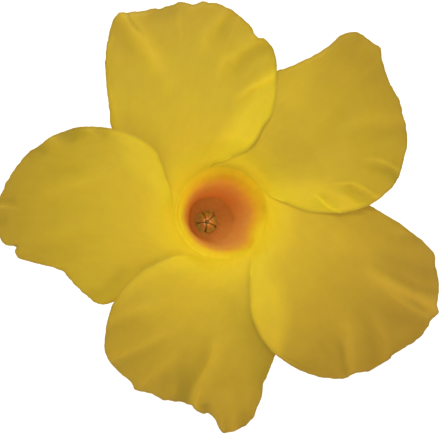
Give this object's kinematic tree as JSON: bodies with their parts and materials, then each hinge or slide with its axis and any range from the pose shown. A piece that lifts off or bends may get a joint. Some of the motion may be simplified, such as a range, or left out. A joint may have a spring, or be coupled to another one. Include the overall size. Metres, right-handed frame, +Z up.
{
  "type": "mandevilla flower",
  "caption": "Picked trumpet-shaped blossom lying on its side: broad petals overlapping in a pinwheel round a funnel throat, with a slender tube, calyx and short stalk.",
  "frame": {"origin": "bottom centre of the bounding box, on the surface that the flower lies on", "axes": "+Z up; the flower's face looks along -Y and about 30 degrees up, and its tube and stalk run back along +Y and down"},
  "size_m": [0.0724, 0.0622, 0.0648],
  "materials": {
    "petal": "satin, golden yellow, slightly translucent petal tissue",
    "throat": "satin, yellow outside and orange-red deep inside",
    "stamen": "matt, pale green to tan anthers",
    "pistil": "matt, pale green",
    "sepal": "matt, leaf green",
    "stalk": "matt, green stem"
  },
  "bodies": {
    "root": {"petal_top": "petal", "petal_upper_right": "petal", "petal_lower_right": "petal", "petal_bottom": "petal", "petal_left": "petal", "corolla_tube": "throat", "stamen_1": "stamen", "stamen_2": "stamen", "stamen_3": "stamen", "stamen_4": "stamen", "stamen_5": "stamen", "pistil": "pistil", "sepal_1": "sepal", "sepal_2": "sepal", "sepal_3": "sepal", "sepal_4": "sepal", "sepal_5": "sepal", "stalk": "stalk"}
  },
  "joints": []
}
